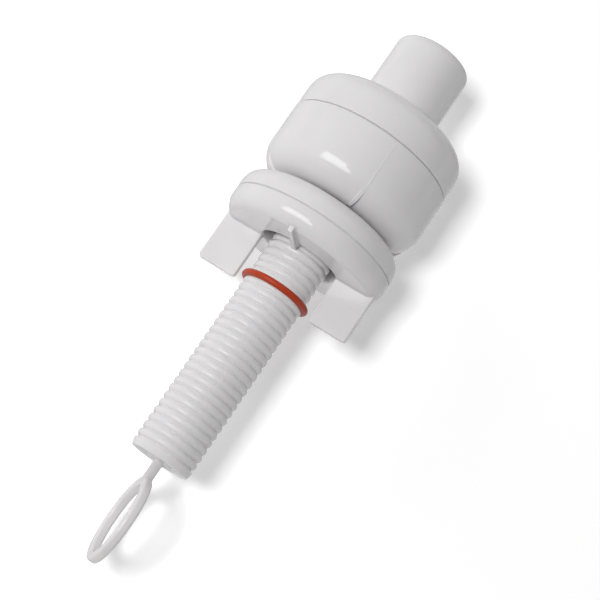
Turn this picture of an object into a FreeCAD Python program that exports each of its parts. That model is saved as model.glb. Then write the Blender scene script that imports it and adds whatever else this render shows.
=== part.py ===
import FreeCAD, Part
import math
import os
import Sketcher

# Float valve with a ribbed through-wall shank, a winged clamp collar and a pull ring.
#
# Frame: millimetres, +Z runs along the valve's axis from the pull ring towards the spigot.
# The origin is on the axis at the underside of the housing, the face that sits on the tank wall.
# The XZ and YZ planes are the housing's mould parting planes.  The pull ring lies in the YZ plane.

DOC = FreeCAD.newDocument("float_valve")

# ---------------------------------------------------------------------------
# Driving dimensions, in millimetres and degrees
# ---------------------------------------------------------------------------
SIZES = {
    # housing, lower shell
    "shell_r": 26.9,
    "shell_wall": 2.4,
    "shell_floor": 3.0,
    "shell_bottom_round": 9.0,
    "seam_z": 22.0,
    "seam_half_gap": 0.2,
    "lip_wall": 1.3,
    "lip_depth": 3.2,
    "lip_play": 0.05,
    # housing, upper cap
    "cap_r": 26.8,
    "cap_wall_top_z": 29.0,
    "cap_knee_r": 23.29,
    "cap_knee_z": 34.83,
    "cap_knee_round": 6.6,
    "cap_crown_round": 21.25,
    "cap_crown_r": 14.4,
    "cap_crown_z": 37.3,
    "cap_neck_z": 39.2,
    "cap_neck_round": 1.9,
    "cap_ceiling_z": 34.3,
    "cap_inner_round": 5.8,
    "spigot_r": 12.5,
    "spigot_bore_r": 9.0,
    "spigot_top_z": 60.9,
    "spigot_end_round": 3.0,
    # ribbed shank
    "rib_crest_r": 10.0,
    "rib_valley_r": 9.1,
    "rib_pitch": 2.61,
    "first_valley_z": -3.6,
    "valley_count": 33,
    "shank_end_z": -90.15,
    "shank_end_r": 9.35,
    "shank_end_rib": 0.87,
    "shank_bore_r": 7.3,
    "oring_valley": 10,
    "oring_centre_r": 10.45,
    "oring_section_r": 1.05,
    "oring_seat_play": 0.02,
    # seals on the housing
    "panel_gasket_r": 17.0,
    "panel_gasket_thick": 1.4,
    "panel_gasket_play": 0.05,
    "seal_section": 1.0,
    # valve seat in the cap
    "seat_r": 12.4,
    "seat_bore_r": 7.2,
    "seat_bottom_z": 33.0,
    "seat_top_z": 36.8,
    "seat_lip_r": 8.6,
    "seat_lip_width": 0.9,
    "seat_lip_round": 0.54,
    "seat_lip_z": 32.4,
    "seat_groove_r": 11.0,
    "seat_groove_half": 0.9,
    # collar: cover ring and winged shell
    "collar_r": 27.2,
    "collar_top_z": -1.9,
    "collar_top_round": 5.1,
    "collar_seam_z": -9.4,
    "collar_bottom_z": -16.7,
    "collar_round_start_z": -11.9,
    "collar_bottom_round": 5.2,
    "collar_crease_r": 24.0,
    "collar_bore_r": 13.0,
    "collar_bore_round": 0.8,
    "collar_wall": 2.2,
    "collar_turn": -25.0,
    "cover_bore_r": 10.6,
    "cover_top_thick": 2.4,
    "cover_plug_r": 24.7,
    "cover_plug_z": -12.0,
    "wing_in_r": 13.15,
    "wing_out_r": 26.1,
    "wing_bottom_z": -32.0,
    "wing_thick": 2.6,
    "wing_corner": 0.9,
    "fin_in_r": 10.15,
    "fin_out_r": 25.0,
    "fin_bottom_z": -18.0,
    "fin_top_z": -13.2,
    "fin_thick": 1.5,
    "grip_in_r": 10.15,
    "grip_out_r": 12.6,
    "grip_top_z": -4.6,
    "grip_bottom_z": -11.4,
    "grip_tooth": 0.5,
    "grip_gap": 3.0,
    "grip_play": 0.2,
    "grip_wall": 1.1,
    "grip_lip_r": 11.8,
    "grip_lip_thick": 0.5,
    "washer_r": 24.4,
    "washer_thick": 0.6,
    "snap_bead": 0.4,
    "snap_half": 0.5,
    "snap_z": -11.3,
    # guides inside the housing
    "guide_flange_r": 10.0,
    "guide_flange_thick": 1.2,
    "guide_depth": 5.0,
    "guide_rim": 1.1,
    "guide_fit": 0.03,
    "hub_r": 3.2,
    "arm_thick": 1.4,
    "end_bush_recess": 0.1,
    "end_bush_rim": 2.2,
    "end_bush_hub_r": 3.8,
    "end_bush_length": 5.0,
    "port_count": 4,
    "cage_out_r": 23.4,
    "cage_in_r": 21.6,
    "cage_bottom_z": 6.1,
    "cage_top_z": 31.3,
    "cage_ring": 2.5,
    "cage_window_width": 26.0,
    # float
    "float_r": 20.6,
    "float_bottom_z": 4.5,
    "float_joint_z": 13.5,
    "float_top_z": 20.7,
    "float_wall": 1.1,
    "float_round": 4.0,
    "float_lap": 1.6,
    "sleeve_out_r": 3.4,
    "sleeve_flange_r": 5.4,
    "sleeve_top_z": 24.6,
    "poppet_r": 10.6,
    "poppet_top_z": 25.3,
    "poppet_thick": 1.8,
    "seal_disc_r": 10.2,
    "seal_disc_thick": 1.7,
    "seal_screw_r": 2.1,
    "seal_screw_head_r": 3.6,
    "seal_screw_head": 1.8,
    "seal_screw_length": 2.2,
    "seal_screw_slot": 0.8,
    "seal_washer_r": 5.2,
    "seal_washer_thick": 0.6,
    # pull stem and ring
    "stem_r": 1.55,
    "stem_play": 0.05,
    "stem_top_z": 21.4,
    "stem_groove_r": 1.0,
    "stem_groove_z": 19.6,
    "clip_thick": 0.7,
    "clip_r": 2.7,
    "clip_mouth": 1.6,
    "stop_washer_thick": 0.6,
    "sleeve_counterbore_r": 2.85,
    "ring_centre_z": -110.0,
    "ring_mid_r": 12.75,
    "ring_radial": 3.05,
    "ring_width": 2.9,
    "ring_corner": 0.95,
}


class Dim:
    """A length that carries its number and the sheet expression that drives it."""

    def __init__(self, value, text):
        self.value = float(value)
        self.text = text

    @staticmethod
    def wrap(other):
        if isinstance(other, Dim):
            return other
        return Dim(other, repr(float(other)))

    def __add__(self, other):
        other = Dim.wrap(other)
        return Dim(self.value + other.value, f"({self.text} + {other.text})")

    def __sub__(self, other):
        other = Dim.wrap(other)
        return Dim(self.value - other.value, f"({self.text} - {other.text})")

    def __mul__(self, other):
        other = Dim.wrap(other)
        return Dim(self.value * other.value, f"({self.text} * {other.text})")

    def __truediv__(self, other):
        other = Dim.wrap(other)
        return Dim(self.value / other.value, f"({self.text} / {other.text})")

    def __neg__(self):
        return Dim(-self.value, f"(-1 * {self.text})")


def make_sheet():
    """Write every driving dimension into the spreadsheet, one aliased row each."""
    sheet = DOC.addObject("Spreadsheet::Sheet", "Sizes")
    for row, (alias, value) in enumerate(SIZES.items(), start=1):
        sheet.set(f"A{row}", alias)
        sheet.set(f"B{row}", str(value))
        sheet.setAlias(f"B{row}", alias)
    DOC.recompute()
    return sheet


SHEET = make_sheet()
BODIES = []
ZERO = Dim(0, "0")
# least volume, in cubic millimetres, that a cut must take away
LEAST_CUT = 0.01


def size(alias):
    """The driving dimension with this alias."""
    return Dim(getattr(SHEET, alias), f"Sizes.{alias}")


# ---------------------------------------------------------------------------
# Sketch and feature helpers
# ---------------------------------------------------------------------------
def new_body(label):
    body = DOC.addObject("PartDesign::Body", label)
    body.Label = label
    BODIES.append(body)
    return body


def origin_plane(body, role):
    return [f for f in body.Origin.OriginFeatures if f.Role == role][0]


def new_sketch(body, name, role="XZ_Plane"):
    sketch = body.newObject("Sketcher::SketchObject", f"{body.Name}_{name}")
    sketch.AttachmentSupport = [(origin_plane(body, role), "")]
    sketch.MapMode = "FlatFace"
    return sketch


def drive(sketch, constraint, dim):
    """Add one dimensional constraint and bind it to its sheet expression."""
    index = sketch.addConstraint(constraint)
    sketch.setExpression(f"Constraints[{index}]", dim.text)


def pin_point(sketch, geometry, point, x, y):
    """Fix a sketch point at (x, y) from the sketch origin."""
    if abs(x.value) < 1e-9:
        sketch.addConstraint(Sketcher.Constraint("PointOnObject", geometry, point, -2))
    elif x.value > 0:
        drive(sketch, Sketcher.Constraint("DistanceX", -1, 1, geometry, point, x.value), x)
    else:
        drive(sketch, Sketcher.Constraint("DistanceX", geometry, point, -1, 1, -x.value), -x)
    if abs(y.value) < 1e-9:
        sketch.addConstraint(Sketcher.Constraint("PointOnObject", geometry, point, -1))
    elif y.value > 0:
        drive(sketch, Sketcher.Constraint("DistanceY", -1, 1, geometry, point, y.value), y)
    else:
        drive(sketch, Sketcher.Constraint("DistanceY", geometry, point, -1, 1, -y.value), -y)


def arc_between(start, end, radius, turn):
    """Arc of the given radius from start to end; turn is +1 counter-clockwise, -1 clockwise."""
    chord = end - start
    half = chord.Length / 2
    rise = math.sqrt(max(radius * radius - half * half, 0.0))
    normal = FreeCAD.Vector(-chord.y, chord.x, 0).normalize()
    centre = start + chord * 0.5 + normal * rise * turn
    first = math.atan2(start.y - centre.y, start.x - centre.x)
    last = math.atan2(end.y - centre.y, end.x - centre.x)
    if turn < 0:
        first, last = last, first
    circle = Part.Circle(centre, FreeCAD.Vector(0, 0, 1), radius)
    return Part.ArcOfCircle(circle, first, last)


def outline(sketch, points):
    """Draw a closed, fully bound outline.

    Each point is (x, y) for a straight side to the next point, or (x, y, radius, turn)
    for an arc to it.
    """
    spots = [FreeCAD.Vector(p[0].value, p[1].value, 0) for p in points]
    starts = []
    for index, point in enumerate(points):
        here = spots[index]
        there = spots[(index + 1) % len(points)]
        if len(point) == 2:
            geometry = sketch.addGeometry(Part.LineSegment(here, there), False)
            starts.append((geometry, 1, 2))
        else:
            arc = arc_between(here, there, point[2].value, point[3])
            geometry = sketch.addGeometry(arc, False)
            ends = (1, 2) if point[3] > 0 else (2, 1)
            starts.append((geometry, ends[0], ends[1]))
    for index, (geometry, first, last) in enumerate(starts):
        following = starts[(index + 1) % len(starts)]
        sketch.addConstraint(
            Sketcher.Constraint("Coincident", geometry, last, following[0], following[1]))
        pin_point(sketch, geometry, first, points[index][0], points[index][1])
        if len(points[index]) == 4:
            radius = points[index][2]
            drive(sketch, Sketcher.Constraint("Radius", geometry, radius.value), radius)


def rectangle(x_low, x_high, y_low, y_high):
    return [(x_low, y_low), (x_high, y_low), (x_high, y_high), (x_low, y_high)]


def revolve(body, points, name="profile"):
    """Turn an outline of (radius, height) points once round the Z axis."""
    sketch = new_sketch(body, name)
    outline(sketch, points)
    feature = body.newObject("PartDesign::Revolution", f"{body.Name}_{name}_turned")
    feature.Profile = sketch
    feature.ReferenceAxis = (sketch, ["V_Axis"])
    feature.Angle = 360
    body.Tip = feature
    return feature


def groove(body, points, name="groove"):
    """Cut an outline of (radius, height) points once round the Z axis."""
    sketch = new_sketch(body, name)
    outline(sketch, points)
    feature = body.newObject("PartDesign::Groove", f"{body.Name}_{name}_cut")
    feature.Profile = sketch
    feature.ReferenceAxis = (sketch, ["V_Axis"])
    feature.Angle = 360
    body.Tip = feature
    return feature


def plate(body, points, thickness, name, role="XZ_Plane"):
    """Pad an outline to both sides of an origin plane."""
    sketch = new_sketch(body, name, role)
    outline(sketch, points)
    feature = body.newObject("PartDesign::Pad", f"{body.Name}_{name}_pad")
    feature.Profile = sketch
    feature.setExpression("Length", thickness.text)
    feature.Midplane = True
    body.Tip = feature
    return feature


def slot(body, points, depth, name, role="XZ_Plane"):
    """Cut an outline to both sides of an origin plane, and check that it removed material."""
    DOC.recompute()
    before = body.Shape.Volume
    sketch = new_sketch(body, name, role)
    outline(sketch, points)
    feature = body.newObject("PartDesign::Pocket", f"{body.Name}_{name}_pocket")
    feature.Profile = sketch
    feature.setExpression("Length", depth.text)
    feature.Midplane = True
    body.Tip = feature
    DOC.recompute()
    if body.Shape.Volume > before - LEAST_CUT:
        raise RuntimeError(f"{body.Label}: {name} cut nothing")
    return feature


def repeat_round(body, feature, count, name):
    """Repeat a feature evenly round the Z axis."""
    pattern = body.newObject("PartDesign::PolarPattern", f"{body.Name}_{name}_pattern")
    pattern.Originals = [feature]
    pattern.Axis = (feature.Profile[0], ["V_Axis"])
    pattern.Angle = 360
    pattern.setExpression("Occurrences", count.text)
    body.Tip = pattern
    return pattern


# ---------------------------------------------------------------------------
# Housing
# ---------------------------------------------------------------------------
def valley_z(index):
    """Height of a groove between ribs, counted down from the first."""
    return size("first_valley_z") - size("rib_pitch") * index


def rib_round():
    """Radius of a rib's crown, from its pitch and height."""
    half = size("rib_pitch") / 2
    height = size("rib_crest_r") - size("rib_valley_r")
    return (half * half + height * height) / (height * 2)


def oring_z():
    """The O-ring sits in place of one groove."""
    return valley_z(int(size("oring_valley").value))


def rib_outline():
    """The shank's ribbed outside, from the top rib down to the end, as outline points."""
    crest_r = size("rib_crest_r")
    valley_r = size("rib_valley_r")
    crown = rib_round()
    seat_r = size("oring_section_r") + size("oring_seat_play")
    # where the O-ring seat breaks through the crest line
    reach = size("oring_centre_r") - crest_r
    seat_half = Dim(
        math.sqrt(seat_r.value ** 2 - reach.value ** 2),
        f"sqrt({seat_r.text} ^ 2 - {reach.text} ^ 2)")
    seat_top = oring_z() + seat_half
    seat_bottom = oring_z() - seat_half
    seat_index = int(size("oring_valley").value)
    last = int(size("valley_count").value) - 1

    points = []
    for index in range(last):
        top = valley_z(index)
        if index == seat_index - 1:
            # rib cut short by the O-ring seat, then the seat itself
            points.append((valley_r, top, crown, -1))
            points.append((crest_r, seat_top, seat_r, 1))
        elif index == seat_index:
            points.append((crest_r, seat_bottom, crown, -1))
        else:
            points.append((valley_r, top, crown, -1))
    points.append((valley_r, valley_z(last)))
    return points


def make_valve_body():
    """Lower shell of the housing, moulded in one piece with the ribbed shank."""
    body = new_body("valve_body")
    shell_r = size("shell_r")
    bottom_round = size("shell_bottom_round")
    inner_r = shell_r - size("shell_wall")
    floor_z = size("shell_floor")
    inner_round = bottom_round - size("shell_wall")
    rim_z = size("seam_z") - size("seam_half_gap")
    lip_r = shell_r - size("lip_wall")
    lip_z = rim_z - size("lip_depth")
    crest_r = size("rib_crest_r")
    end_z = size("shank_end_z")
    bore_r = size("shank_bore_r")
    last_valley = valley_z(int(size("valley_count").value) - 1)

    points = [
        (bore_r, floor_z),
        (inner_r - inner_round, floor_z, inner_round, 1),
        (inner_r, floor_z + inner_round),
        (inner_r, lip_z),
        (lip_r, lip_z),
        (lip_r, rim_z),
        (shell_r, rim_z),
        (shell_r, bottom_round, bottom_round, -1),
        (shell_r - bottom_round, ZERO),
        (crest_r, ZERO),
        (crest_r, size("first_valley_z") + size("rib_pitch") / 2, rib_round(), -1),
    ]
    points += rib_outline()
    points += [
        (crest_r, last_valley - size("shank_end_rib")),
        (size("shank_end_r"), end_z),
        (bore_r, end_z),
    ]
    revolve(body, points)
    return body


def make_upper_cap():
    """Domed upper shell with the outlet spigot and the socket for the valve seat."""
    body = new_body("upper_cap")
    cap_r = size("cap_r")
    wall = size("shell_wall")
    rim_z = size("seam_z") + size("seam_half_gap")
    skirt_out_r = size("shell_r") - size("lip_wall") - size("lip_play")
    inner_r = cap_r - wall
    skirt_z = size("seam_z") - size("seam_half_gap") - size("lip_depth") + size("seal_section")
    ceiling = size("cap_ceiling_z")
    inner_round = size("cap_inner_round")
    spigot_r = size("spigot_r")
    bore_r = size("spigot_bore_r")
    socket_r = size("seat_r") + size("guide_fit")
    end_round = size("spigot_end_round")
    top_z = size("spigot_top_z")

    revolve(body, [
        (inner_r, skirt_z),
        (skirt_out_r, skirt_z),
        (skirt_out_r, rim_z),
        (cap_r, rim_z),
        (cap_r, size("cap_wall_top_z"), size("cap_knee_round"), 1),
        (size("cap_knee_r"), size("cap_knee_z"), size("cap_crown_round"), 1),
        (size("cap_crown_r"), size("cap_crown_z"), size("cap_neck_round"), -1),
        (spigot_r, size("cap_neck_z")),
        (spigot_r, top_z - end_round, end_round, 1),
        (spigot_r - end_round, top_z),
        (bore_r, top_z),
        (bore_r, size("seat_top_z")),
        (socket_r, size("seat_top_z")),
        (socket_r, ceiling),
        (inner_r - inner_round, ceiling, inner_round, -1),
        (inner_r, ceiling - inner_round),
    ])
    return body


def make_seam_seal():
    """Square-section seal at the foot of the cap's skirt."""
    body = new_body("seam_seal")
    foot_z = size("seam_z") - size("seam_half_gap") - size("lip_depth")
    revolve(body, rectangle(
        size("cap_r") - size("shell_wall"),
        size("shell_r") - size("lip_wall") - size("lip_play"),
        foot_z, foot_z + size("seal_section")))
    return body


def make_torus(label, centre_r, centre_z, section_r):
    """Round-section ring: a circle turned round the Z axis."""
    body = new_body(label)
    sketch = new_sketch(body, "section")
    centre = FreeCAD.Vector(centre_r.value, centre_z.value, 0)
    circle = sketch.addGeometry(
        Part.Circle(centre, FreeCAD.Vector(0, 0, 1), section_r.value), False)
    pin_point(sketch, circle, 3, centre_r, centre_z)
    drive(sketch, Sketcher.Constraint("Radius", circle, section_r.value), section_r)
    feature = body.newObject("PartDesign::Revolution", f"{label}_section_turned")
    feature.Profile = sketch
    feature.ReferenceAxis = (sketch, ["V_Axis"])
    feature.Angle = 360
    body.Tip = feature
    return body


def make_panel_gasket():
    body = new_body("panel_gasket")
    revolve(body, rectangle(
        size("rib_crest_r") + size("panel_gasket_play"), size("panel_gasket_r"),
        -size("panel_gasket_thick"), ZERO))
    return body


def make_valve_seat():
    """Seat insert: a bush in the cap's socket with a raised sealing lip facing the float."""
    body = new_body("valve_seat")
    lip_in = size("seat_lip_r") - size("seat_lip_width") / 2
    lip_out = size("seat_lip_r") + size("seat_lip_width") / 2
    bottom = size("seat_bottom_z")
    revolve(body, [
        (size("seat_bore_r"), bottom),
        (lip_in, bottom),
        (lip_in, size("seat_lip_z"), size("seat_lip_round"), 1),
        (lip_out, size("seat_lip_z")),
        (lip_out, bottom),
        (size("seat_r"), bottom),
        (size("seat_r"), size("seat_top_z")),
        (size("seat_bore_r"), size("seat_top_z")),
    ])
    middle = (size("seat_bottom_z") + size("seat_top_z")) / 2 + size("seat_groove_half") / 2
    groove(body, rectangle(
        size("seat_groove_r"), size("seat_r") + size("seal_section"),
        middle - size("seat_groove_half"), middle + size("seat_groove_half")))
    return body


def make_seat_oring():
    middle = (size("seat_bottom_z") + size("seat_top_z")) / 2 + size("seat_groove_half") / 2
    section_r = (size("seat_r") - size("seat_groove_r")) / 2
    return make_torus("seat_oring", size("seat_groove_r") + section_r, middle, section_r)


def add_arms(body, low_z, high_z, hub_r, out_r, count, name):
    """Radial arms from a hub to a rim: one padded arm repeated round the axis."""
    arm = plate(body, rectangle(hub_r, out_r, low_z, high_z), size("arm_thick"), name)
    return repeat_round(body, arm, count, name)


def make_stem_guide():
    """Spider in the mouth of the shank that centres the stem and lets water past."""
    body = new_body("stem_guide")
    rim_out = size("shank_bore_r") - size("guide_fit")
    rim_in = rim_out - size("guide_rim")
    floor_z = size("shell_floor")
    low_z = floor_z - size("guide_depth")
    high_z = floor_z + size("guide_flange_thick")
    revolve(body, [
        (rim_in, low_z),
        (rim_out, low_z),
        (rim_out, floor_z),
        (size("guide_flange_r"), floor_z),
        (size("guide_flange_r"), high_z),
        (rim_in, high_z),
    ], "rim")
    add_arms(body, low_z, high_z, size("hub_r") - size("guide_rim"),
             rim_in + size("guide_rim") / 2, size("port_count"), "arms")
    revolve(body, rectangle(size("stem_r") + size("stem_play"), size("hub_r"), low_z, high_z), "hub")
    return body


def make_end_bush():
    """Ported bush pressed nearly flush into the lower end of the shank, guiding the stem."""
    body = new_body("end_bush")
    rim_out = size("shank_bore_r") - size("guide_fit")
    rim_in = rim_out - size("end_bush_rim")
    hub_out = size("end_bush_hub_r")
    low_z = size("shank_end_z") + size("end_bush_recess")
    high_z = low_z + size("end_bush_length")
    revolve(body, rectangle(rim_in, rim_out, low_z, high_z), "rim")
    add_arms(body, low_z, high_z, hub_out - size("guide_rim"),
             rim_in + size("guide_rim") / 2, size("port_count"), "arms")
    revolve(body, rectangle(size("stem_r") + size("stem_play"), hub_out, low_z, high_z), "hub")
    return body


def make_float_guide():
    """Cage that keeps the float central: two rings joined by four posts."""
    body = new_body("float_guide")
    low_z = size("cage_bottom_z")
    high_z = size("cage_top_z")
    revolve(body, rectangle(size("cage_in_r"), size("cage_out_r"), low_z, high_z))
    half = size("cage_window_width") / 2
    window = rectangle(-half, half, low_z + size("cage_ring"), high_z - size("cage_ring"))
    # longer than the cage is wide, so that the slot leaves through both sides
    through = size("cage_out_r") * 3
    slot(body, window, through, "window_front", "XZ_Plane")
    slot(body, window, through, "window_side", "YZ_Plane")
    return body


# ---------------------------------------------------------------------------
# Clamp collar
# ---------------------------------------------------------------------------
def turn_with_collar(body):
    """Stand a collar piece at the collar's resting angle."""
    angle = SHEET.collar_turn
    body.Placement = FreeCAD.Placement(
        FreeCAD.Vector(0, 0, 0), FreeCAD.Rotation(FreeCAD.Vector(0, 0, 1), angle))


def make_collar_cover():
    """Upper ring of the collar, which bears on the wall and houses the grip ring."""
    body = new_body("collar_cover")
    collar_r = size("collar_r")
    top_round = size("collar_top_round")
    top_z = size("collar_top_z")
    seam_z = size("collar_seam_z") + size("seam_half_gap") / 2
    wall = size("collar_wall")
    plug_r = size("cover_plug_r")
    plug_z = size("cover_plug_z")
    under_z = top_z - size("cover_top_thick")
    grip_wall_in = size("grip_out_r") + size("grip_play")
    grip_wall_out = grip_wall_in + size("grip_wall")
    lip_top_z = plug_z + size("grip_lip_thick")
    snap_z = size("snap_z")
    snap_half = size("snap_half")
    revolve(body, [
        (size("cover_bore_r"), under_z),
        (grip_wall_in, under_z),
        (grip_wall_in, lip_top_z),
        (size("grip_lip_r"), lip_top_z),
        (size("grip_lip_r"), plug_z),
        (grip_wall_out, plug_z),
        (grip_wall_out, under_z),
        (plug_r - wall, under_z),
        (plug_r - wall, plug_z),
        (plug_r, plug_z),
        (plug_r, snap_z - snap_half),
        (plug_r + size("snap_bead"), snap_z),
        (plug_r, snap_z + snap_half),
        (plug_r, seam_z),
        (collar_r, seam_z),
        (collar_r, top_z - top_round, top_round, 1),
        (collar_r - top_round, top_z),
        (size("cover_bore_r"), top_z),
    ])
    return body


def make_grip_ring():
    """Split ring with inner teeth that click over the shank's ribs."""
    body = new_body("grip_ring")
    top_z = size("grip_top_z")
    bottom_z = size("grip_bottom_z")
    tooth = size("grip_tooth")
    inner = size("grip_in_r") + tooth
    tooth_half = size("rib_pitch") / 4
    quarter = (top_z - bottom_z) / 4
    upper = top_z - quarter
    lower = bottom_z + quarter
    revolve(body, [
        (inner, bottom_z),
        (size("grip_out_r"), bottom_z),
        (size("grip_out_r"), top_z),
        (inner, top_z),
        (inner, upper + tooth_half),
        (inner - tooth, upper),
        (inner, upper - tooth_half),
        (inner, lower + tooth_half),
        (inner - tooth, lower),
        (inner, lower - tooth_half),
    ])
    half = size("grip_gap") / 2
    sketch = new_sketch(body, "split", "XZ_Plane")
    outline(sketch, rectangle(-half, half, bottom_z - tooth, top_z + tooth))
    cut = body.newObject("PartDesign::Pocket", "grip_ring_split_pocket")
    cut.Profile = sketch
    cut.setExpression("Length", size("collar_bore_r").text)
    body.Tip = cut
    return body


def make_slip_washer():
    """Thin washer between the cover and the winged shell, so that the wings turn freely."""
    body = new_body("slip_washer")
    high_z = size("cover_plug_z")
    revolve(body, rectangle(
        size("cover_plug_r") - size("collar_wall"), size("washer_r"),
        high_z - size("washer_thick"), high_z))
    return body


def make_wing_collar():
    """Winged lower shell of the collar with two finger wings and two rib-catching fins."""
    body = new_body("wing_collar")
    collar_r = size("collar_r")
    wall = size("collar_wall")
    seam_z = size("collar_seam_z") - size("seam_half_gap") / 2
    bottom_z = size("collar_bottom_z")
    bore_r = size("collar_bore_r")
    bore_round = size("collar_bore_round")
    play = size("lip_play") * 2
    shelf_z = size("cover_plug_z") - size("washer_thick") - play
    rim_in = size("cover_plug_r") + play
    snap_z = size("snap_z")
    snap_half = size("snap_half") + play
    shelf_in = size("cover_plug_r") - wall - play
    inner_floor = bottom_z + wall
    tube_out = bore_r + wall
    revolve(body, [
        (bore_r, bottom_z + bore_round, bore_round, 1),
        (bore_r + bore_round, bottom_z),
        (size("collar_crease_r"), bottom_z, size("collar_bottom_round"), 1),
        (collar_r, size("collar_round_start_z")),
        (collar_r, seam_z),
        (rim_in, seam_z),
        (rim_in, snap_z + snap_half),
        (rim_in + size("snap_bead"), snap_z),
        (rim_in, snap_z - snap_half),
        (rim_in, shelf_z),
        (shelf_in, shelf_z),
        (shelf_in, inner_floor),
        (tube_out, inner_floor),
        (tube_out, shelf_z),
        (bore_r, shelf_z),
    ], "shell")
    root_z = bottom_z + wall / 2
    corner = size("wing_corner")
    low_z = size("wing_bottom_z")
    wing = plate(body, [
        (size("wing_in_r"), low_z + corner, corner, 1),
        (size("wing_in_r") + corner, low_z),
        (size("wing_out_r") - corner, low_z, corner, 1),
        (size("wing_out_r"), low_z + corner),
        (size("wing_out_r"), root_z + wall),
        (size("collar_crease_r"), root_z + wall),
        (size("collar_crease_r"), root_z),
        (bore_r + bore_round, root_z),
        (size("wing_in_r"), root_z + bore_round / 2),
    ], size("wing_thick"), "wing")
    repeat_round(body, wing, Dim(2, "2"), "wings")
    fin = plate(body, [
        (size("fin_in_r"), size("fin_bottom_z")),
        (size("fin_out_r"), size("fin_bottom_z")),
        (size("fin_out_r"), root_z),
        (bore_r + wall / 2, root_z),
        (bore_r + wall / 2, size("fin_top_z")),
        (size("fin_in_r"), size("fin_top_z")),
    ], size("fin_thick"), "fin", "YZ_Plane")
    repeat_round(body, fin, Dim(2, "2"), "fins")
    turn_with_collar(body)
    return body


# ---------------------------------------------------------------------------
# Float
# ---------------------------------------------------------------------------
def make_float_lower():
    """Cup-shaped lower half of the hollow float."""
    body = new_body("float_lower")
    r = size("float_r")
    wall = size("float_wall")
    corner = size("float_round")
    low_z = size("float_bottom_z")
    joint_z = size("float_joint_z")
    hub = size("sleeve_out_r")
    revolve(body, [
        (hub, low_z),
        (r - corner, low_z, corner, 1),
        (r, low_z + corner),
        (r, joint_z),
        (r - wall, joint_z),
        (r - wall, low_z + corner, corner - wall, -1),
        (r - corner, low_z + wall),
        (hub, low_z + wall),
    ])
    return body


def make_float_upper():
    """Lid half of the float, with a lap that plugs into the lower half."""
    body = new_body("float_upper")
    r = size("float_r")
    wall = size("float_wall")
    corner = size("float_round")
    top_z = size("float_top_z")
    joint_z = size("float_joint_z")
    lap = size("float_lap")
    lap_out = r - wall
    hub = size("sleeve_out_r")
    revolve(body, [
        (lap_out - wall, joint_z - lap),
        (lap_out, joint_z - lap),
        (lap_out, joint_z),
        (r, joint_z),
        (r, top_z - corner, corner, 1),
        (r - corner, top_z),
        (hub, top_z),
        (hub, top_z - wall),
        (r - corner, top_z - wall, corner - wall, -1),
        (lap_out, top_z - corner),
        (lap_out, joint_z + wall),
        (lap_out - wall, joint_z),
    ])
    return body


def make_float_sleeve():
    """Hub tube through the float, counterbored at the top for the stem's clip."""
    body = new_body("float_sleeve")
    bore_r = size("stem_r") + size("stem_play")
    out_r = size("sleeve_out_r")
    flange_r = size("sleeve_flange_r")
    flange_z = size("float_top_z")
    top_z = size("sleeve_top_z") - size("poppet_thick")
    pocket_z = size("stem_groove_z") - size("clip_thick") * 2
    revolve(body, [
        (bore_r, size("float_bottom_z")),
        (out_r, size("float_bottom_z")),
        (out_r, flange_z),
        (flange_r, flange_z),
        (flange_r, top_z),
        (size("sleeve_counterbore_r"), top_z),
        (size("sleeve_counterbore_r"), pocket_z),
        (bore_r, pocket_z),
    ])
    return body


def make_poppet():
    """Disc on top of the sleeve that carries the rubber seal."""
    body = new_body("poppet")
    seat_z = size("sleeve_top_z") - size("poppet_thick")
    top_z = size("poppet_top_z")
    edge_z = top_z - size("poppet_thick")
    revolve(body, [
        (size("seal_screw_r"), top_z - size("seal_screw_length")),
        (size("sleeve_counterbore_r"), top_z - size("seal_screw_length")),
        (size("sleeve_counterbore_r"), seat_z),
        (size("sleeve_flange_r"), seat_z),
        (size("poppet_r"), edge_z + size("float_wall") / 2),
        (size("poppet_r"), top_z),
        (size("seal_screw_r"), top_z),
    ])
    return body


def make_seal_disc():
    """Flat rubber disc that closes on the seat's lip."""
    body = new_body("seal_disc")
    low_z = size("poppet_top_z")
    revolve(body, rectangle(
        size("seal_screw_r"), size("seal_disc_r"), low_z, low_z + size("seal_disc_thick")))
    return body


def make_seal_washer():
    body = new_body("seal_washer")
    low_z = size("poppet_top_z") + size("seal_disc_thick")
    revolve(body, rectangle(
        size("seal_screw_r"), size("seal_washer_r"), low_z, low_z + size("seal_washer_thick")))
    return body


def make_seal_screw():
    """Slotted pan-head screw that clamps the seal disc to the poppet."""
    body = new_body("seal_screw")
    head_z = size("poppet_top_z") + size("seal_disc_thick") + size("seal_washer_thick")
    head_r = size("seal_screw_head_r")
    top_z = head_z + size("seal_screw_head")
    low_z = size("poppet_top_z") - size("seal_screw_length")
    revolve(body, [
        (ZERO, low_z),
        (size("seal_screw_r"), low_z),
        (size("seal_screw_r"), head_z),
        (head_r, head_z),
        (head_r, top_z - size("seal_screw_slot"), size("seal_screw_slot"), 1),
        (head_r - size("seal_screw_slot"), top_z),
        (ZERO, top_z),
    ])
    over = size("seal_screw_slot")
    cut = rectangle(-head_r - over, head_r + over, top_z - over, top_z + over)
    slot(body, cut, size("seal_screw_slot"), "driver_slot")
    return body


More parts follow.
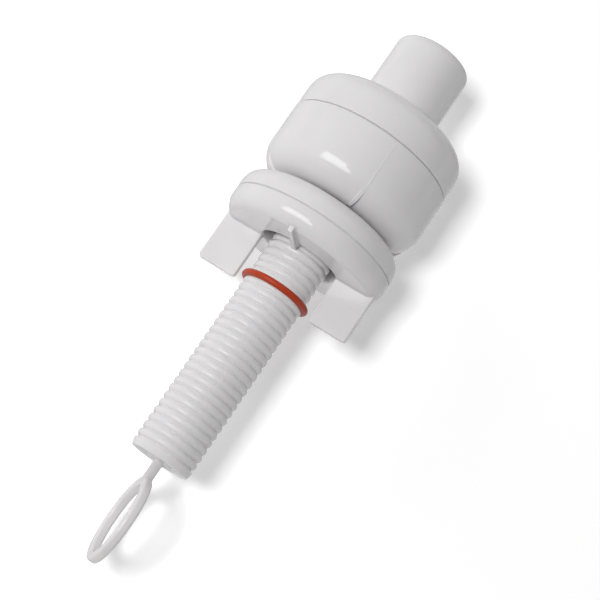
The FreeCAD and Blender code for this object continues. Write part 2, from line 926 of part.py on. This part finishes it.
# ---------------------------------------------------------------------------
# Pull stem
# ---------------------------------------------------------------------------
def make_pull_stem():
    """Long stem moulded in one piece with the finger ring at its lower end."""
    body = new_body("pull_stem")
    stem_r = size("stem_r")
    top_z = size("stem_top_z")
    groove_low = size("stem_groove_z")
    groove_high = groove_low + size("clip_thick")
    centre_z = size("ring_centre_z")
    mid_r = size("ring_mid_r")
    tip = size("stem_groove_r") / 2
    revolve(body, [
        (ZERO, centre_z + mid_r),
        (stem_r, centre_z + mid_r),
        (stem_r, groove_low),
        (size("stem_groove_r"), groove_low),
        (size("stem_groove_r"), groove_high),
        (stem_r, groove_high),
        (stem_r, top_z - tip, tip, 1),
        (stem_r - tip, top_z),
        (ZERO, top_z),
    ], "stem")
    # ring section: a rounded rectangle turned about a line along X through the ring's centre
    sketch = new_sketch(body, "ring", "XZ_Plane")
    half_w = size("ring_width") / 2
    low = centre_z + mid_r - size("ring_radial") / 2
    high = centre_z + mid_r + size("ring_radial") / 2
    corner = size("ring_corner")
    outline(sketch, [
        (-half_w + corner, low),
        (half_w - corner, low, corner, 1),
        (half_w, low + corner),
        (half_w, high - corner, corner, 1),
        (half_w - corner, high),
        (-half_w + corner, high, corner, 1),
        (-half_w, high - corner),
        (-half_w, low + corner, corner, 1),
    ])
    left = FreeCAD.Vector(-mid_r.value, centre_z.value, 0)
    right = FreeCAD.Vector(mid_r.value, centre_z.value, 0)
    axis = sketch.addGeometry(Part.LineSegment(left, right), True)
    pin_point(sketch, axis, 1, -mid_r, centre_z)
    pin_point(sketch, axis, 2, mid_r, centre_z)
    ring = body.newObject("PartDesign::Revolution", "pull_stem_ring_turned")
    ring.Profile = sketch
    ring.ReferenceAxis = (sketch, ["Axis0"])
    ring.Angle = 360
    body.Tip = ring
    return body


def make_stem_clip():
    """Open retaining clip in the stem's top groove, bearing on the sleeve's counterbore."""
    body = new_body("stem_clip")
    low_z = size("stem_groove_z")
    revolve(body, rectangle(
        size("stem_groove_r"), size("clip_r"), low_z, low_z + size("clip_thick")))
    half = size("clip_mouth") / 2
    sketch = new_sketch(body, "mouth", "XZ_Plane")
    outline(sketch, rectangle(-half, half, low_z - size("clip_thick"), low_z + size("clip_thick") * 2))
    cut = body.newObject("PartDesign::Pocket", "stem_clip_mouth_pocket")
    cut.Profile = sketch
    cut.setExpression("Length", size("collar_bore_r").text)
    body.Tip = cut
    return body


def make_stop_washer():
    """Washer between the clip and the sleeve's counterbore."""
    body = new_body("stop_washer")
    low_z = size("stem_groove_z") - size("clip_thick")
    revolve(body, rectangle(
        size("stem_r") + size("stem_play") / 2, size("clip_r"),
        low_z, low_z + size("stop_washer_thick")))
    return body


# ---------------------------------------------------------------------------
# Build, check and write
# ---------------------------------------------------------------------------
make_valve_body()
make_upper_cap()
make_seam_seal()
make_torus("shank_oring", size("oring_centre_r"), oring_z(), size("oring_section_r"))
make_panel_gasket()
make_valve_seat()
make_seat_oring()
make_stem_guide()
make_end_bush()
make_float_guide()
make_collar_cover()
make_grip_ring()
make_slip_washer()
make_wing_collar()
make_float_lower()
make_float_upper()
make_float_sleeve()
make_poppet()
make_seal_disc()
make_seal_washer()
make_seal_screw()
make_pull_stem()
make_stem_clip()
make_stop_washer()
DOC.recompute()

for item in DOC.Objects:
    if "Invalid" in item.State or "Error" in item.State:
        raise RuntimeError(f"{item.Label}: {item.State}")
for body in BODIES:
    shape = body.Shape
    if shape.isNull() or not shape.isValid() or len(shape.Solids) != 1:
        raise RuntimeError(f"{body.Label}: shape is not one valid solid")

os.makedirs("parts", exist_ok=True)
for body in BODIES:
    body.Shape.exportStep(f"parts/{body.Label}.step")
    print(f"{body.Label}: {body.Shape.Volume:.1f} mm3")
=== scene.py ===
import math
import bpy
import numpy as np
from mathutils import Matrix, Vector


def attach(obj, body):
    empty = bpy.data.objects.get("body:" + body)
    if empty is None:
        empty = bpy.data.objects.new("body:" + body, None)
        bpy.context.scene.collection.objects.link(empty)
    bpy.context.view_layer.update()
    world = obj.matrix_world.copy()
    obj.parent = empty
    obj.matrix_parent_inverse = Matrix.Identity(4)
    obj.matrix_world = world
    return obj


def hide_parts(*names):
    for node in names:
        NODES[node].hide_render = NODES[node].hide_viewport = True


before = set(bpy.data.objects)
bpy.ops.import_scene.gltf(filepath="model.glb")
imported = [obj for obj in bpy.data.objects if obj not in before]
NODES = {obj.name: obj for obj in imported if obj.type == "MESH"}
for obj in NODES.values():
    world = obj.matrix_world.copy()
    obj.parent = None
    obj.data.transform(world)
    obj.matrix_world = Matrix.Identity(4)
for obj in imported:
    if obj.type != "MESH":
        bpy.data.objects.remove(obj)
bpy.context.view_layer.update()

# All the shapes below are in millimetres, on the part's own axis, and are scaled to metres when a mesh is made.
MM = 0.001
FULL_TURN = 2 * math.pi
FRONT = math.radians(-90)
COLLAR_TURN = math.radians(-25)
STEPS_ROUND = 180

PITCH = 2.61
CREST_R = 10.0
VALLEY_R = 9.1
FIRST_VALLEY = -3.6
VALLEYS = 33
RIB_R = ((PITCH / 2) ** 2 + (CREST_R - VALLEY_R) ** 2) / (2 * (CREST_R - VALLEY_R))
VALLEY_ROUND = 0.16
ORING_VALLEY = 10
ORING_Z = FIRST_VALLEY - PITCH * ORING_VALLEY
ORING_R = 10.45
ORING_SECTION_R = 1.05


# ---------------------------------------------------------------------------
# Profiles
# ---------------------------------------------------------------------------
def arc_points(start, end, radius, turn, step=7.0):
    """Points on an arc from start to end, without the end. turn is +1 counter-clockwise, -1 clockwise."""
    start, end = np.array(start, float), np.array(end, float)
    chord = end - start
    half = np.linalg.norm(chord) / 2
    rise = math.sqrt(max(radius * radius - half * half, 0.0))
    normal = np.array([-chord[1], chord[0]]) / (2 * half)
    centre = (start + end) / 2 + normal * rise * turn
    first = math.atan2(*(start - centre)[::-1])
    last = math.atan2(*(end - centre)[::-1])
    sweep = (last - first) % FULL_TURN
    if turn < 0:
        sweep -= FULL_TURN
    count = max(2, math.ceil(abs(math.degrees(sweep)) / step))
    stops = [first + sweep * i / count for i in range(count)]
    return [tuple(centre + radius * np.array([math.cos(a), math.sin(a)])) for a in stops]


def fillet_points(before, corner, after, radius, hold=0.05):
    """The corner rounded to radius, with a close point on each straight side so that flats shade flat."""
    before, corner, after = (np.array(p[:2], float) for p in (before, corner, after))
    a = (before - corner) / np.linalg.norm(before - corner)
    b = (after - corner) / np.linalg.norm(after - corner)
    half = math.acos(max(-1.0, min(1.0, float(a @ b)))) / 2
    reach = radius / math.tan(half)
    start, end = corner + a * reach, corner + b * reach
    turn = 1 if a[0] * b[1] - a[1] * b[0] < 0 else -1
    arc = arc_points(start, end, radius, turn, 11.0)
    return [tuple(start + a * hold), *arc, tuple(end), tuple(end + b * hold)]


def outline(points):
    """Closed outline. A point is (x, y), (x, y, fillet), or (x, y, radius, turn) for an arc to the next point."""
    made = []
    for i, p in enumerate(points):
        after = points[(i + 1) % len(points)]
        if len(p) == 2:
            made.append(p)
        elif len(p) == 3:
            made += fillet_points(points[i - 1], p, after, p[2])
        else:
            made += arc_points(p[:2], after[:2], p[2], p[3])
    return np.array(made, float)


# ---------------------------------------------------------------------------
# Meshes
# ---------------------------------------------------------------------------
def join_grids(grids):
    """One vertex array and face list from several (verts, faces)."""
    verts, faces, base = [], [], 0
    for v, f in grids:
        verts.append(v)
        faces += [tuple(i + base for i in face) for face in f]
        base += len(v)
    return np.concatenate(verts), faces


def angles(count, marks=(), spread=()):
    """Angles round the axis, closer together at each mark."""
    found = set(np.round(np.linspace(0, FULL_TURN, count, endpoint=False), 6))
    for mark in marks:
        for s in spread:
            found.add(round((mark + s) % FULL_TURN, 6))
    return np.array(sorted(found))


def turned(profile, around, lift=None):
    """A closed outline of (radius, height) turned round the axis.

    lift gives the (radial, axial) offsets at an (angle, radius, height).
    """
    r, z = profile[:, 0], profile[:, 1]
    t, rr = np.meshgrid(around, r, indexing="ij")
    zz = np.broadcast_to(z, rr.shape)
    if lift is not None:
        out, up = lift(t, rr, zz)
        rr, zz = rr + out, zz + up
    verts = np.stack([rr * np.cos(t), rr * np.sin(t), zz], -1).reshape(-1, 3)
    n, m = len(around), len(r)
    faces = []
    for i in range(n):
        j = (i + 1) % n
        for k in range(m):
            after = (k + 1) % m
            faces.append((i * m + k, j * m + k, j * m + after, i * m + after))
    return verts, faces


def lofted(sections):
    """Closed cross-sections, each the same number of points, joined end to end and capped."""
    n, m = len(sections), len(sections[0])
    verts = np.concatenate(sections)
    faces = []
    for i in range(n - 1):
        for k in range(m):
            after = (k + 1) % m
            faces.append((i * m + k, i * m + after, (i + 1) * m + after, (i + 1) * m + k))
    faces.append(tuple(reversed(range(m))))
    faces.append(tuple(range((n - 1) * m, n * m)))
    return verts, faces


def spun(grid, angle):
    """The same mesh turned about the axis."""
    verts, faces = grid
    c, s = math.cos(angle), math.sin(angle)
    return verts @ np.array([[c, s, 0], [-s, c, 0], [0, 0, 1]]), faces


def piece(name, grids, body, node, material):
    """A Blender object from grids in millimetres, riding on a CAD body and standing for a CAD node."""
    verts, faces = join_grids(grids)
    mesh = bpy.data.meshes.new(name)
    mesh.from_pydata((verts * MM).tolist(), [], faces)
    mesh.validate()
    mesh.polygons.foreach_set("use_smooth", [True] * len(mesh.polygons))
    obj = bpy.data.objects.new(name, mesh)
    bpy.context.scene.collection.objects.link(obj)
    mesh.materials.append(material)
    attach(obj, body)
    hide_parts(node)
    return obj


# ---------------------------------------------------------------------------
# Materials
# ---------------------------------------------------------------------------
def node_material(name):
    """A new material with its node tree and its main shader."""
    mat = bpy.data.materials.new(name)
    mat.use_nodes = True
    tree = mat.node_tree
    return mat, tree, tree.nodes["Principled BSDF"]


def noise(tree, coord, scale, detail):
    """Noise laid over the object's own coordinates."""
    node = tree.nodes.new("ShaderNodeTexNoise")
    node.inputs["Scale"].default_value = scale
    node.inputs["Detail"].default_value = detail
    tree.links.new(coord.outputs["Object"], node.inputs["Vector"])
    return node


def colour_from(tree, pattern, bsdf, dark, light):
    """The base colour, mixed from two colours by a pattern."""
    ramp = tree.nodes.new("ShaderNodeValToRGB")
    ramp.color_ramp.elements[0].color = (*dark, 1)
    ramp.color_ramp.elements[1].color = (*light, 1)
    tree.links.new(pattern.outputs["Fac"], ramp.inputs["Fac"])
    tree.links.new(ramp.outputs["Color"], bsdf.inputs["Base Color"])
    return ramp


def roughness_from(tree, pattern, bsdf, low, high):
    """The roughness, spread between two values by a pattern."""
    gloss = tree.nodes.new("ShaderNodeMapRange")
    gloss.inputs["To Min"].default_value = low
    gloss.inputs["To Max"].default_value = high
    tree.links.new(pattern.outputs["Fac"], gloss.inputs["Value"])
    tree.links.new(gloss.outputs["Result"], bsdf.inputs["Roughness"])


def plastic(name, light, dark, rough_low, rough_high, grain, grain_depth, bleed=0.0):
    """Moulded plastic: faint flow mottling in the colour, uneven gloss and a fine surface grain."""
    mat, tree, bsdf = node_material(name)
    coord = tree.nodes.new("ShaderNodeTexCoord")
    flow = noise(tree, coord, 55.0, 4.0)
    flow.inputs["Roughness"].default_value = 0.55
    ramp = colour_from(tree, flow, bsdf, dark, light)
    ramp.color_ramp.elements[0].position = 0.3
    ramp.color_ramp.elements[1].position = 0.72
    roughness_from(tree, noise(tree, coord, 210.0, 3.0), bsdf, rough_low, rough_high)
    skin = noise(tree, coord, grain, 2.0)
    bump = tree.nodes.new("ShaderNodeBump")
    bump.inputs["Strength"].default_value = 0.35
    bump.inputs["Distance"].default_value = grain_depth
    tree.links.new(skin.outputs["Fac"], bump.inputs["Height"])
    tree.links.new(bump.outputs["Normal"], bsdf.inputs["Normal"])
    bsdf.inputs["IOR"].default_value = 1.49
    bsdf.inputs["Subsurface Weight"].default_value = bleed
    bsdf.inputs["Subsurface Radius"].default_value = (1.0, 0.85, 0.8)
    bsdf.inputs["Subsurface Scale"].default_value = 0.0012
    return mat


def rubber(name, light, dark, rough_low, rough_high):
    """Moulded rubber: soft sheen and a slightly uneven surface."""
    mat = plastic(name, light, dark, rough_low, rough_high, 900.0, COARSE_DEPTH)
    mat.node_tree.nodes["Principled BSDF"].inputs["IOR"].default_value = 1.42
    return mat


def steel(name):
    """Turned stainless steel with fine rings round the axis."""
    mat, tree, bsdf = node_material(name)
    coord = tree.nodes.new("ShaderNodeTexCoord")
    rings = tree.nodes.new("ShaderNodeTexWave")
    rings.wave_type = "RINGS"
    rings.rings_direction = "Z"
    rings.inputs["Scale"].default_value = 1400.0
    rings.inputs["Distortion"].default_value = 1.5
    tree.links.new(coord.outputs["Object"], rings.inputs["Vector"])
    colour_from(tree, rings, bsdf, (0.52, 0.52, 0.54), (0.64, 0.64, 0.65))
    roughness_from(tree, rings, bsdf, 0.24, 0.38)
    bsdf.inputs["Metallic"].default_value = 1.0
    return mat


# The depths are of the bump grain, in metres. The polished outside has the finer one.
FINE_DEPTH = 0.000003
COARSE_DEPTH = 0.00002
OUTSIDE_WHITE = ((0.805, 0.793, 0.80), (0.78, 0.768, 0.776), 0.05, 0.08, 700.0, FINE_DEPTH, 0.22)
STEM_WHITE = ((0.805, 0.79, 0.795), (0.78, 0.765, 0.77), 0.07, 0.11, 700.0, FINE_DEPTH, 0.22)
HOUSING = plastic("housing_white", *OUTSIDE_WHITE)
COLLAR = plastic("collar_white", *OUTSIDE_WHITE)
STEM = plastic("stem_white", *STEM_WHITE)
INNER = plastic("inner_natural", (0.74, 0.74, 0.72), (0.69, 0.69, 0.67), 0.38, 0.52, 1200.0, COARSE_DEPTH)
FLOAT = plastic("float_natural", (0.70, 0.74, 0.77), (0.64, 0.68, 0.71), 0.40, 0.55, 1200.0, COARSE_DEPTH)
RED = rubber("red_silicone", (0.50, 0.052, 0.014), (0.40, 0.036, 0.010), 0.34, 0.46)
BLACK = rubber("black_rubber", (0.035, 0.035, 0.037), (0.02, 0.02, 0.021), 0.48, 0.62)
STEEL = steel("stainless_steel")

CAD_FINISH = {
    "seam_seal": BLACK, "panel_gasket": BLACK, "seat_oring": BLACK, "seal_disc": BLACK,
    "valve_seat": INNER, "stem_guide": INNER, "end_bush": HOUSING, "float_guide": INNER, "grip_ring": INNER,
    "slip_washer": INNER, "stop_washer": INNER, "poppet": INNER,
    "float_lower": FLOAT, "float_upper": FLOAT, "float_sleeve": FLOAT,
    "seal_washer": STEEL, "seal_screw": STEEL, "stem_clip": STEEL,
    "valve_body": HOUSING, "upper_cap": HOUSING, "collar_cover": COLLAR, "wing_collar": COLLAR,
    "pull_stem": STEM, "shank_oring": RED,
}
for name, material in CAD_FINISH.items():
    mesh = NODES[name].data
    mesh.materials.clear()
    mesh.materials.append(material)


# ---------------------------------------------------------------------------
# Housing
# ---------------------------------------------------------------------------
QUARTERS = [FRONT + math.radians(90) * i for i in range(4)]
RIDGE_STEPS = (0.14, 0.24, 0.34, 0.7, 1.0, 1.25, 1.5, 1.75, 2.1, 2.7)
RIDGE_SPREAD = [0.0] + [math.radians(s) for d in RIDGE_STEPS for s in (-d, d)]
RIDGE_HEIGHT = 0.1
WEB_HEIGHT = 0.75
RIB_MARK_HEIGHT = 0.03
SHANK_END = -90.15


def parting_ridge(t, r, z):
    """Fine flash line at each of the four mould joints, standing up as a small web on the shell's lower round."""
    off = np.degrees(np.abs((t - FRONT + math.pi / 4) % (math.pi / 2) - math.pi / 4))
    line = np.clip((0.3 - off) / 0.12, 0, 1)
    web_shape = np.clip((1.75 - off) / 0.5, 0, 1)
    on_wall = (r > 26) & (z > 0.6) & (z < 21.2)
    on_round = (r > 18.2) & (z < 8.9) & (z > -0.5) & (z < 0.9 * (r - 17.0))
    on_ribs = (r > 8.9) & (r < 10.2) & (z < -2)
    low = np.clip((4.2 - z) / 2.6, 0, 1) * np.clip((r - 18.4) / 1.2, 0, 1)
    grow = WEB_HEIGHT * web_shape * low * low * (3 - 2 * low) * on_round
    along_r, along_z = np.clip((r - 17.9) / 9.0, 0, 1), np.clip((z - 9.0) / 9.0, -1, 0)
    radial = RIDGE_HEIGHT * line * on_wall + grow * along_r + RIB_MARK_HEIGHT * web_shape * on_ribs
    return radial, grow * along_z


def ribs():
    """Rings down the shank's outside, from the first groove to the last, with a small round in each groove."""
    seat_r = 1.07
    seat_offset = 0.45
    seat_edge = CREST_R - 0.04
    half = math.sqrt(seat_r ** 2 - seat_offset ** 2)
    crown_r = CREST_R - RIB_R
    share = RIB_R / (RIB_R + VALLEY_ROUND)
    touch_r = crown_r + share * math.sqrt((RIB_R + VALLEY_ROUND) ** 2 - (PITCH / 2) ** 2)
    touch_z = (1 - share) * PITCH / 2
    points = []
    for i in range(VALLEYS - 1):
        z = FIRST_VALLEY - PITCH * i
        if i == ORING_VALLEY:
            points += [(seat_edge, ORING_Z + half, seat_r, 1), (seat_edge, ORING_Z - half, RIB_R, -1)]
        else:
            points += [(touch_r, z + touch_z, VALLEY_ROUND, 1), (touch_r, z - touch_z, RIB_R, -1)]
    return points


LAST_VALLEY = FIRST_VALLEY - PITCH * (VALLEYS - 1)
body_profile = outline([
    (7.3, 3.0, 0.3), (17.9, 3.0, 6.6, 1), (24.5, 9.6), (24.5, 18.6), (25.6, 18.6), (25.6, 22.1),
    (26.45, 22.1), (26.45, 21.67), (26.9, 21.67, 0.2), (26.9, 9.0, 9.0, -1), (17.9, 0.0),
    (CREST_R, 0.0), (CREST_R, FIRST_VALLEY + PITCH / 2, RIB_R, -1),
    *ribs(),
    (VALLEY_R, LAST_VALLEY), (CREST_R, LAST_VALLEY - 0.87, 0.3), (9.35, SHANK_END, 0.35), (7.3, SHANK_END, 0.3),
])
shell = turned(body_profile, angles(STEPS_ROUND, QUARTERS, RIDGE_SPREAD), parting_ridge)
piece("housing_shell", [shell], "housing", "valve_body", HOUSING)

cap_profile = outline([
    (24.4, 19.6), (25.55, 19.6), (25.55, 22.12), (26.8, 22.12, 0.25), (26.8, 29.0, 6.6, 1),
    (23.29, 34.83, 21.25, 1), (14.4, 37.3, 1.9, -1), (12.5, 39.2), (12.5, 57.9, 3.0, 1), (9.5, 60.9),
    (9.0, 60.9, 0.25), (9.0, 36.8), (12.43, 36.8), (12.43, 34.3), (18.6, 34.3, 5.8, -1), (24.4, 28.5),
])
piece("housing_cap", [turned(cap_profile, angles(STEPS_ROUND))], "housing", "upper_cap", HOUSING)


# ---------------------------------------------------------------------------
# O-ring on the shank
# ---------------------------------------------------------------------------
def oring():
    """Round ring with a small nick on its lower front edge."""
    near_nick = [math.radians(s) for s in (-4, -3, -2, -1.2, -0.6, 0, 0.6, 1.2, 2, 3, 4)]
    section = [(ORING_R + ORING_SECTION_R * math.cos(a), ORING_Z + ORING_SECTION_R * math.sin(a))
               for a in np.linspace(0, FULL_TURN, 36, endpoint=False)]
    depth, spread = 0.28, 1.3

    def nick(t, r, z):
        off = np.abs((t - FRONT + math.pi) % FULL_TURN - math.pi)
        low = np.clip((ORING_Z - z) / 0.8, 0, 1) * (r > 10.4)
        return -depth * np.exp(-(np.degrees(off) / spread) ** 2) * low, 0.0
    return turned(np.array(section), angles(200, [FRONT], near_nick), nick)


piece("shank_ring_seal", [oring()], "housing", "shank_oring", RED)


# ---------------------------------------------------------------------------
# Clamp collar
# ---------------------------------------------------------------------------
cover_profile = outline([
    (10.6, -4.3, 0.2), (12.8, -4.3), (12.8, -11.5), (11.8, -11.5), (11.8, -12.0), (13.9, -12.0), (13.9, -4.3),
    (22.5, -4.3), (22.5, -12.0), (24.7, -12.0), (24.7, -11.8), (25.1, -11.3), (24.7, -10.8), (24.7, -9.72),
    (26.7, -9.72), (26.7, -9.33), (27.2, -9.33, 0.2), (27.2, -7.0, 5.1, 1), (22.1, -1.9), (10.6, -1.9, 0.5),
])
cover = turned(cover_profile, angles(STEPS_ROUND))
piece("collar_cover_skin", [cover], "collar", "collar_cover", COLLAR)

UNDERSIDE = -16.7
LIP_ROUND = 0.8
OUTER_ROUND = 5.2
shell_profile = outline([
    (13.0, -15.9, LIP_ROUND, 1), (13.8, UNDERSIDE), (23.9, UNDERSIDE), (24.0, UNDERSIDE, OUTER_ROUND, 1),
    (27.2, -11.9), (27.2, -9.78, 0.2), (26.6, -9.78), (24.8, -9.78), (24.8, -10.7), (25.2, -11.3), (24.8, -11.9),
    (24.8, -12.7), (22.4, -12.7), (22.4, -14.5), (15.2, -14.5), (15.2, -12.7), (13.0, -12.7),
])


def under_z(r):
    """Height of the winged shell's underside at a radius."""
    if r < 13.8:
        return -15.9 - math.sqrt(max(LIP_ROUND ** 2 - (r - 13.8) ** 2, 0.0))
    if r < 24.0:
        return UNDERSIDE
    return -11.9 - math.sqrt(max(OUTER_ROUND ** 2 - (r - 22.0) ** 2, 0.0))


def web(inner_r, outer_r, bottom, half_thick, flare, edge, sink, corner, stations=26):
    """A radial plate hanging from the shell, flared into its underside and rounded along its edges.

    It lies along +X. Each section stands across the plate at one radius.
    """
    radii = inner_r + (outer_r - inner_r) * (1 - np.cos(np.linspace(0, math.pi, stations))) / 2
    sections = []
    for r in radii:
        inset = min(r - inner_r, outer_r - r)
        ease = corner - math.sqrt(max(corner ** 2 - max(corner - inset, 0.0) ** 2, 0.0))
        thin = edge - math.sqrt(max(edge ** 2 - max(edge - inset, 0.0) ** 2, 0.0))
        low = bottom + ease
        half = half_thick - thin
        top = under_z(min(max(r, 13.3), 27.0))
        side = [(half + flare + 0.02, top + sink)]
        for a in np.radians(np.linspace(0, 90, 9)):
            side.append((half + flare * (1 - math.sin(a)), top - flare * (1 - math.cos(a))))
        side.append((half, top - flare - 0.3))
        side.append((half, low + edge + 0.05))
        for a in np.radians(np.linspace(0, 90, 7)):
            side.append((half - edge * (1 - math.cos(a)), low + edge * (1 - math.sin(a))))
        side.append((half * 0.4, low))
        ring = side + [(-x, z) for x, z in reversed(side)]
        sections.append(np.array([(r, x, z) for x, z in ring]))
    return lofted(sections)


wing = web(inner_r=13.15, outer_r=26.1, bottom=-32.0, half_thick=1.3, flare=0.5, edge=0.35, sink=0.6, corner=0.9)
fin = web(inner_r=10.15, outer_r=25.0, bottom=-18.0, half_thick=0.75, flare=0.5, edge=0.22, sink=0.6, corner=0.35)
winged = [turned(shell_profile, angles(STEPS_ROUND))]
for i in range(2):
    winged.append(spun(wing, math.pi * i))
    winged.append(spun(fin, math.pi * (i + 0.5)))
winged = [spun(g, COLLAR_TURN) for g in winged]
piece("winged_shell", winged, "wings", "wing_collar", COLLAR)


# ---------------------------------------------------------------------------
# Pull stem and finger ring
# ---------------------------------------------------------------------------
STEM_R = 1.55
RING_Z = -110.0
RING_MID_R = 12.75
RING_STEPS = 160
stem_profile = [
    (0.0, -97.25), (STEM_R, -97.25), (STEM_R, 19.6), (1.0, 19.6), (1.0, 20.3), (STEM_R, 20.3), (STEM_R, 20.9),
    (1.05, 21.4), (0.0, 21.4),
]


def ring():
    """Rounded-rectangle section swept round the finger opening, in the YZ plane."""
    wide, thick, corner = 1.45, 1.525, 0.95
    section = outline([(-wide, -thick, corner), (wide, -thick, corner), (wide, thick, corner), (-wide, thick, corner)])
    m = len(section)
    verts = [[x, (RING_MID_R + y) * math.cos(t), RING_Z + (RING_MID_R + y) * math.sin(t)]
             for t in np.linspace(0, FULL_TURN, RING_STEPS, endpoint=False) for x, y in section]
    faces = []
    for i in range(RING_STEPS):
        j = (i + 1) % RING_STEPS
        for k in range(m):
            after = (k + 1) % m
            faces.append((i * m + k, i * m + after, j * m + after, j * m + k))
    return np.array(verts), faces


def solid_turned(profile, count):
    """An outline that starts and ends on the axis, turned round it."""
    rows = profile[1:-1]
    verts = [(r * math.cos(t), r * math.sin(t), z)
             for t in np.linspace(0, FULL_TURN, count, endpoint=False) for r, z in rows]
    m = len(rows)
    low, high = len(verts), len(verts) + 1
    verts += [(0, 0, profile[0][1]), (0, 0, profile[-1][1])]
    pairs = [(i * m, ((i + 1) % count) * m) for i in range(count)]
    faces = [(i + k, j + k, j + k + 1, i + k + 1) for i, j in pairs for k in range(m - 1)]
    faces += [(low, j, i) for i, j in pairs]
    faces += [(high, i + m - 1, j + m - 1) for i, j in pairs]
    return np.array(verts, float), faces


piece("pull_ring_and_stem", [solid_turned(stem_profile, 48), ring()], "pull", "pull_stem", STEM)


# ---------------------------------------------------------------------------
# Camera
# ---------------------------------------------------------------------------
def photo_axes():
    """Right, down and forward of the photograph's camera, in the part's frame."""
    turn = math.radians(11)
    across = Vector((math.cos(turn), -math.sin(turn), 0))
    toward = Vector((-math.sin(turn), -math.cos(turn), 0))
    up = Vector((0, 0, 1))

    def mixed(a, b, c):
        return (across * a + toward * b + up * c).normalized()
    return mixed(0.8271, 0.1268, 0.5475), mixed(0.5620, -0.1867, -0.8058), mixed(0.0, -0.9742, 0.2257)


def placed(x, y, z, at):
    """Matrix with the three axes as its columns, at a place."""
    return Matrix((
        (x.x, y.x, z.x, at.x),
        (x.y, y.y, z.y, at.y),
        (x.z, y.z, z.z, at.z),
        (0, 0, 0, 1)))


RIGHT, DOWN, FORWARD = photo_axes()
CAMERA_AT = Vector((-77.77, -439.06, -130.5)) * MM

cam_data = bpy.data.cameras.new("camera")
cam_data.lens = 92.436
cam_data.sensor_width = 36.0
cam_data.clip_start = 0.02
cam_data.clip_end = 20.0
cam = bpy.data.objects.new("camera", cam_data)
cam.matrix_world = placed(RIGHT, -DOWN, -FORWARD, CAMERA_AT)
bpy.context.scene.collection.objects.link(cam)
bpy.context.scene.camera = cam


# ---------------------------------------------------------------------------
# Floor and light
# ---------------------------------------------------------------------------
# Lengths from here on are in metres.
CENTRE = Vector((0, 0, -0.030))
BEHIND = Vector((FORWARD.x, FORWARD.y, 0)).normalized()
UP = Vector((0, 0, 1))
FLOOR_GAP = 0.0278
FLOOR_HALF = 1.5
CARD_HALF = 0.4
CARD_DROP = 0.001
FLOOR_GLOW = 0.28
CARD_GLOW = 0.6
SKY_LIGHT = 0.165


def sheet(name, gap, half, material):
    """A flat sheet behind the object, level with its axis."""
    mesh = bpy.data.meshes.new(name)
    at = CENTRE + BEHIND * gap
    across = BEHIND.cross(UP)
    corners = [at + across * (half * x) + UP * (half * y) for x, y in ((-1, -1), (1, -1), (1, 1), (-1, 1))]
    mesh.from_pydata([tuple(c) for c in corners], [], [(0, 1, 2, 3)])
    mesh.materials.append(material)
    obj = bpy.data.objects.new(name, mesh)
    bpy.context.scene.collection.objects.link(obj)
    return obj


def stage_material(name):
    """A new material with an empty node tree but for its output."""
    mat = bpy.data.materials.new(name)
    mat.use_nodes = True
    mat.node_tree.nodes.clear()
    return mat, mat.node_tree, mat.node_tree.nodes.new("ShaderNodeOutputMaterial")


def white_glow(tree, strength):
    """A white emission shader."""
    node = tree.nodes.new("ShaderNodeEmission")
    node.inputs["Color"].default_value = (1, 1, 1, 1)
    node.inputs["Strength"].default_value = strength
    return node


def table_material():
    """Bright white on the upper side, clear on the under side, so that the floor hides nothing from behind."""
    mat, tree, out = stage_material("table_white")
    new, link = tree.nodes.new, tree.links.new
    paper = new("ShaderNodeBsdfDiffuse")
    paper.inputs["Color"].default_value = (1.0, 1.0, 1.0, 1)
    both = new("ShaderNodeAddShader")
    mix = new("ShaderNodeMixShader")
    link(paper.outputs[0], both.inputs[0])
    link(white_glow(tree, FLOOR_GLOW).outputs[0], both.inputs[1])
    link(new("ShaderNodeNewGeometry").outputs["Backfacing"], mix.inputs["Fac"])
    link(both.outputs[0], mix.inputs[1])
    link(new("ShaderNodeBsdfTransparent").outputs[0], mix.inputs[2])
    link(mix.outputs[0], out.inputs["Surface"])
    return mat


def card_material():
    """The grey that the gloss on the object's far edges picks up."""
    mat, tree, out = stage_material("card_grey")
    tree.links.new(white_glow(tree, CARD_GLOW).outputs[0], out.inputs["Surface"])
    return mat


table = sheet("table_top", FLOOR_GAP, FLOOR_HALF, table_material())
table.visible_glossy = False
card = sheet("edge_card", FLOOR_GAP + CARD_DROP, CARD_HALF, card_material())
card.visible_camera = False
card.visible_diffuse = False
card.visible_shadow = False
card.visible_transmission = False


SEEN_AXIS = DOWN * -0.824 + RIGHT * 0.566


def softbox(name, left, up, near, width, height, power, mirrored):
    """A rectangular light in the photograph's left, up and near directions, turned level with the object's axis.

    A mirrored light makes highlights only. The others light the surfaces without being mirrored in them.
    """
    data = bpy.data.lights.new(name, "AREA")
    data.shape = "RECTANGLE"
    data.size = width
    data.size_y = height
    data.energy = power
    obj = bpy.data.objects.new(name, data)
    obj.visible_glossy = mirrored
    obj.visible_diffuse = not mirrored
    at = CENTRE - RIGHT * left - DOWN * up - FORWARD * near
    back = (at - CENTRE).normalized()
    y = SEEN_AXIS.cross(back).cross(back).normalized() * -1
    obj.matrix_world = placed(y.cross(back), y, back, at)
    bpy.context.scene.collection.objects.link(obj)


softbox("window_lower", 0.475, 0.175, 0.9, 0.78, 0.27, 2.9, True)
softbox("window_upper", 0.385, 0.405, 0.9, 0.64, 0.25, 2.2, True)
softbox("key", 0.193, 0.169, 0.94, 0.21, 0.21, 5.8, False)
softbox("side_fill", 0.32, 0.95, 0.3, 0.5, 0.5, 2.3, False)

world = bpy.data.worlds.new("studio")
bpy.context.scene.world = world
world.use_nodes = True
world.node_tree.nodes["Background"].inputs["Color"].default_value = (1.0, 1.0, 1.0, 1)
world.node_tree.nodes["Background"].inputs["Strength"].default_value = SKY_LIGHT
bpy.context.scene.view_settings.view_transform = "Standard"
